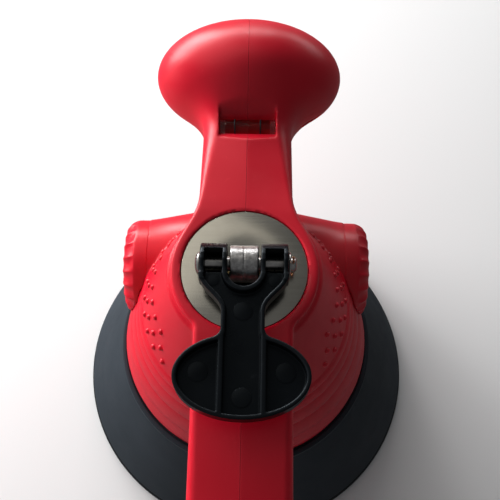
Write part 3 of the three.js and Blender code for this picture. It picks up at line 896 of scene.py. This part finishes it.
class Nodes:
    """A short way to write a material's node tree."""

    def __init__(self, name):
        self.material = bpy.data.materials.new(name)
        self.material.use_nodes = True
        self.tree = self.material.node_tree
        self.shader = self.tree.nodes["Principled BSDF"]
        self.place = self.add("ShaderNodeTexCoord").outputs["Object"]

    def add(self, kind, **settings):
        node = self.tree.nodes.new(kind)
        for key, value in settings.items():
            if key in node.inputs:
                node.inputs[key].default_value = value
            else:
                setattr(node, key, value)
        return node

    def link(self, source, target):
        self.tree.links.new(source, target)

    def noise(self, scale, detail=3.0, roughness=0.6, stretch=(1, 1, 1)):
        mapping = self.add("ShaderNodeMapping")
        mapping.inputs["Scale"].default_value = stretch
        self.link(self.place, mapping.inputs["Vector"])
        node = self.add("ShaderNodeTexNoise", Scale=scale, Detail=detail, Roughness=roughness)
        self.link(mapping.outputs["Vector"], node.inputs["Vector"])
        return node.outputs["Fac"]

    def spread(self, source, low, high, to_low, to_high):
        node = self.add("ShaderNodeMapRange")
        self.link(source, node.inputs["Value"])
        for key, value in zip(("From Min", "From Max", "To Min", "To Max"),
                              (low, high, to_low, to_high)):
            node.inputs[key].default_value = value
        return node.outputs["Result"]

    def mix(self, factor, a, b):
        node = self.add("ShaderNodeMix", data_type="RGBA")
        colours = [socket for socket in node.inputs if socket.type == "RGBA"]
        self.link(factor, node.inputs["Factor"])
        for socket, value in zip(colours, (a, b)):
            if isinstance(value, bpy.types.NodeSocket):
                self.link(value, socket)
            else:
                socket.default_value = (*value, 1)
        return [socket for socket in node.outputs if socket.type == "RGBA"][0]

    def bump(self, *layers):
        """Stacks bump layers, each a height and its distance in millimetres."""
        normal = None
        for height, distance in layers:
            node = self.add("ShaderNodeBump")
            node.inputs["Distance"].default_value = distance * MM
            self.link(height, node.inputs["Height"])
            if normal:
                self.link(normal, node.inputs["Normal"])
            normal = node.outputs["Normal"]
        self.link(normal, self.shader.inputs["Normal"])

    def set(self, **values):
        for key, value in values.items():
            self.shader.inputs[key.replace("_", " ")].default_value = value

    def drive(self, socket, source):
        self.link(source, self.shader.inputs[socket])

    def edges(self):
        """1 on convex edges and 0 elsewhere."""
        wear = self.add("ShaderNodeNewGeometry").outputs["Pointiness"]
        return self.spread(wear, 0.51, 0.6, 0, 1)


def moulded_plastic(name, deep, bright, worn, roughness, grain):
    n = Nodes(name)
    cloud = n.spread(n.noise(22, 2), 0.3, 0.7, 0, 1)
    tone = n.mix(cloud, deep, bright)
    scuff = n.spread(n.noise(240, 5, 0.7), 0.62, 0.78, 0, 0.35)
    tone = n.mix(scuff, tone, worn)
    n.drive("Base Color", n.mix(n.spread(n.edges(), 0, 1, 0, 0.3), tone, worn))
    n.drive("Roughness", n.spread(n.noise(60, 4), 0.3, 0.7, roughness - 0.05, roughness + 0.07))
    n.bump((n.noise(1500, 2), grain), (n.noise(90, 3), 0.02))
    return n


def red_plastic():
    n = moulded_plastic("red_plastic", (0.52, 0.002, 0.015), (0.60, 0.004, 0.020),
                        (0.74, 0.03, 0.05), 0.34, 0.012)
    n.set(Specular_IOR_Level=0.42)
    return n.material


def black_plastic(name, deep, bright, roughness):
    n = moulded_plastic(name, deep, bright, (0.03, 0.034, 0.038), roughness, 0.012)
    n.set(Specular_IOR_Level=0.16, Specular_Tint=(0.75, 0.88, 1, 1))
    return n.material


def pad_rubber():
    n = moulded_plastic("pad_rubber", (0.010, 0.011, 0.013), (0.016, 0.018, 0.021),
                        (0.05, 0.055, 0.06), 0.52, 0.02)
    n.set(Specular_IOR_Level=0.2)
    return n.material


def metal(name, colour, shade, roughness, grain, stretch=(1, 1, 1), scale=500, depth=0.01,
          darker_below=None):
    """Plain metal; an optional pair of heights in millimetres makes it darker towards the bottom:
    near-black and not metallic below the first height, its own colour from the second up.
    """
    n = Nodes(name)
    marks = n.noise(scale, 4, 0.65, stretch)
    n.set(Metallic=1.0, Specular_IOR_Level=0.1)
    tone = n.mix(n.spread(marks, 0.3, 0.7, 0, 1), shade, colour)
    # Darker towards the bottom: near-black and not metallic below the lower height, blending back
    # to the metal's own colour by the upper one.
    if darker_below:
        split = n.add("ShaderNodeSeparateXYZ")
        n.link(n.place, split.inputs["Vector"])
        low, high = darker_below
        dark = n.spread(split.outputs["Z"], low * MM, high * MM, 1, 0)
        tone = n.mix(dark, tone, (0.012, 0.009, 0.007))
        n.drive("Metallic", n.spread(dark, 0, 1, 1, 0))
    n.drive("Base Color", tone)
    n.drive("Roughness", n.spread(n.noise(grain, 4, 0.6, stretch), 0.3, 0.7,
                                  roughness - 0.06, roughness + 0.08))
    n.bump((marks, depth))
    return n.material


def disc_steel():
    n = Nodes("disc_steel")
    lines = n.noise(60, 6, 0.7, (0.6, 40, 1))
    stains = n.noise(140, 5, 0.75)
    specks = n.spread(n.noise(900, 3, 0.8), 0.70, 0.76, 0, 1)
    n.set(Metallic=1.0)
    tone = n.mix(n.spread(lines, 0.3, 0.7, 0, 1), (0.50, 0.47, 0.40), (0.60, 0.57, 0.49))
    tone = n.mix(n.spread(stains, 0.45, 0.8, 0, 0.25), tone, (0.34, 0.30, 0.24))
    n.drive("Base Color", n.mix(n.spread(specks, 0, 1, 0, 0.5), tone, (0.78, 0.77, 0.72)))
    n.drive("Roughness", n.spread(lines, 0.3, 0.7, 0.17, 0.27))
    n.bump((lines, 0.004), (specks, 0.004))
    return n.material


def clear_glass():
    n = Nodes("vial_glass")
    n.set(Base_Color=(0.97, 0.98, 0.97, 1), Roughness=0.03, IOR=1.2, Transmission_Weight=1.0)
    n.bump((n.noise(300, 2), 0.004))
    return n.material


def tinted_spirit():
    n = Nodes("vial_spirit")
    n.drive("Base Color", n.mix(n.noise(200, 2), (0.80, 0.12, 0.14), (0.86, 0.2, 0.2)))
    n.set(Roughness=0.03, IOR=1.15, Transmission_Weight=1.0)
    return n.material


def floor_material():
    n = Nodes("floor")
    n.drive("Base Color", n.mix(n.noise(3, 2), (0.78, 0.78, 0.78), (0.81, 0.81, 0.81)))
    n.set(Roughness=0.7)
    return n.material


def make_floor():
    mesh = bpy.data.meshes.new("floor")
    mesh.from_pydata([(-4, -4, 0), (4, -4, 0), (4, 4, 0), (-4, 4, 0)], [], [(0, 1, 2, 3)])
    floor = bpy.data.objects.new("floor", mesh)
    bpy.context.collection.objects.link(floor)
    mesh.materials.append(floor_material())
    floor.visible_glossy = False


def paint_nodes(material, names):
    """Gives CAD nodes that keep their own shape a finished material."""
    for name in names:
        piece = bpy.data.objects[name]
        piece.data.materials.clear()
        piece.data.materials.append(material)


# ---- the scene --------------------------------------------------------------------------------

make_camera()
make_lights()
make_floor()

RED = red_plastic()
BLACK = black_plastic("lever_plastic", (0.002, 0.0025, 0.003), (0.004, 0.005, 0.006), 0.3)
SKIRT_BLACK = black_plastic("skirt_plastic", (0.022, 0.027, 0.033), (0.030, 0.036, 0.044),
                            0.46)
RUBBER = pad_rubber()
ZINC = metal("zinc_steel", (0.60, 0.58, 0.55), (0.40, 0.39, 0.38), 0.30, 700)
# The rod turns near-black towards its bottom, from 4.5 mm above the pin's middle down to 1.5 mm
# below it.
CAST = metal("cast_steel", (0.55, 0.54, 0.53), (0.22, 0.21, 0.205), 0.34, 600, scale=700,
             depth=0.12, darker_below=(PIN_Z - 1.5, PIN_Z + 4.5))
BRASS = metal("bush_brass", (0.72, 0.55, 0.27), (0.50, 0.36, 0.16), 0.34, 500)
COPPER = metal("copper", (0.72, 0.38, 0.22), (0.48, 0.22, 0.12), 0.30, 900)

make_handle(RED)
make_barrel_ends(RED)
make_skirt(SKIRT_BLACK)
make_pad(RUBBER)
make_disc(disc_steel())
make_rod(CAST)
make_pin(ZINC, COPPER)
make_lever(BLACK)
make_vial(clear_glass(), tinted_spirit(), BLACK)
make_spring(ZINC)
paint_nodes(ZINC, [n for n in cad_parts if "screw" in n])
paint_nodes(ZINC, ["pad_plate", "rod_nut", "spring_seat"])
paint_nodes(BRASS, ["guide_bush"])
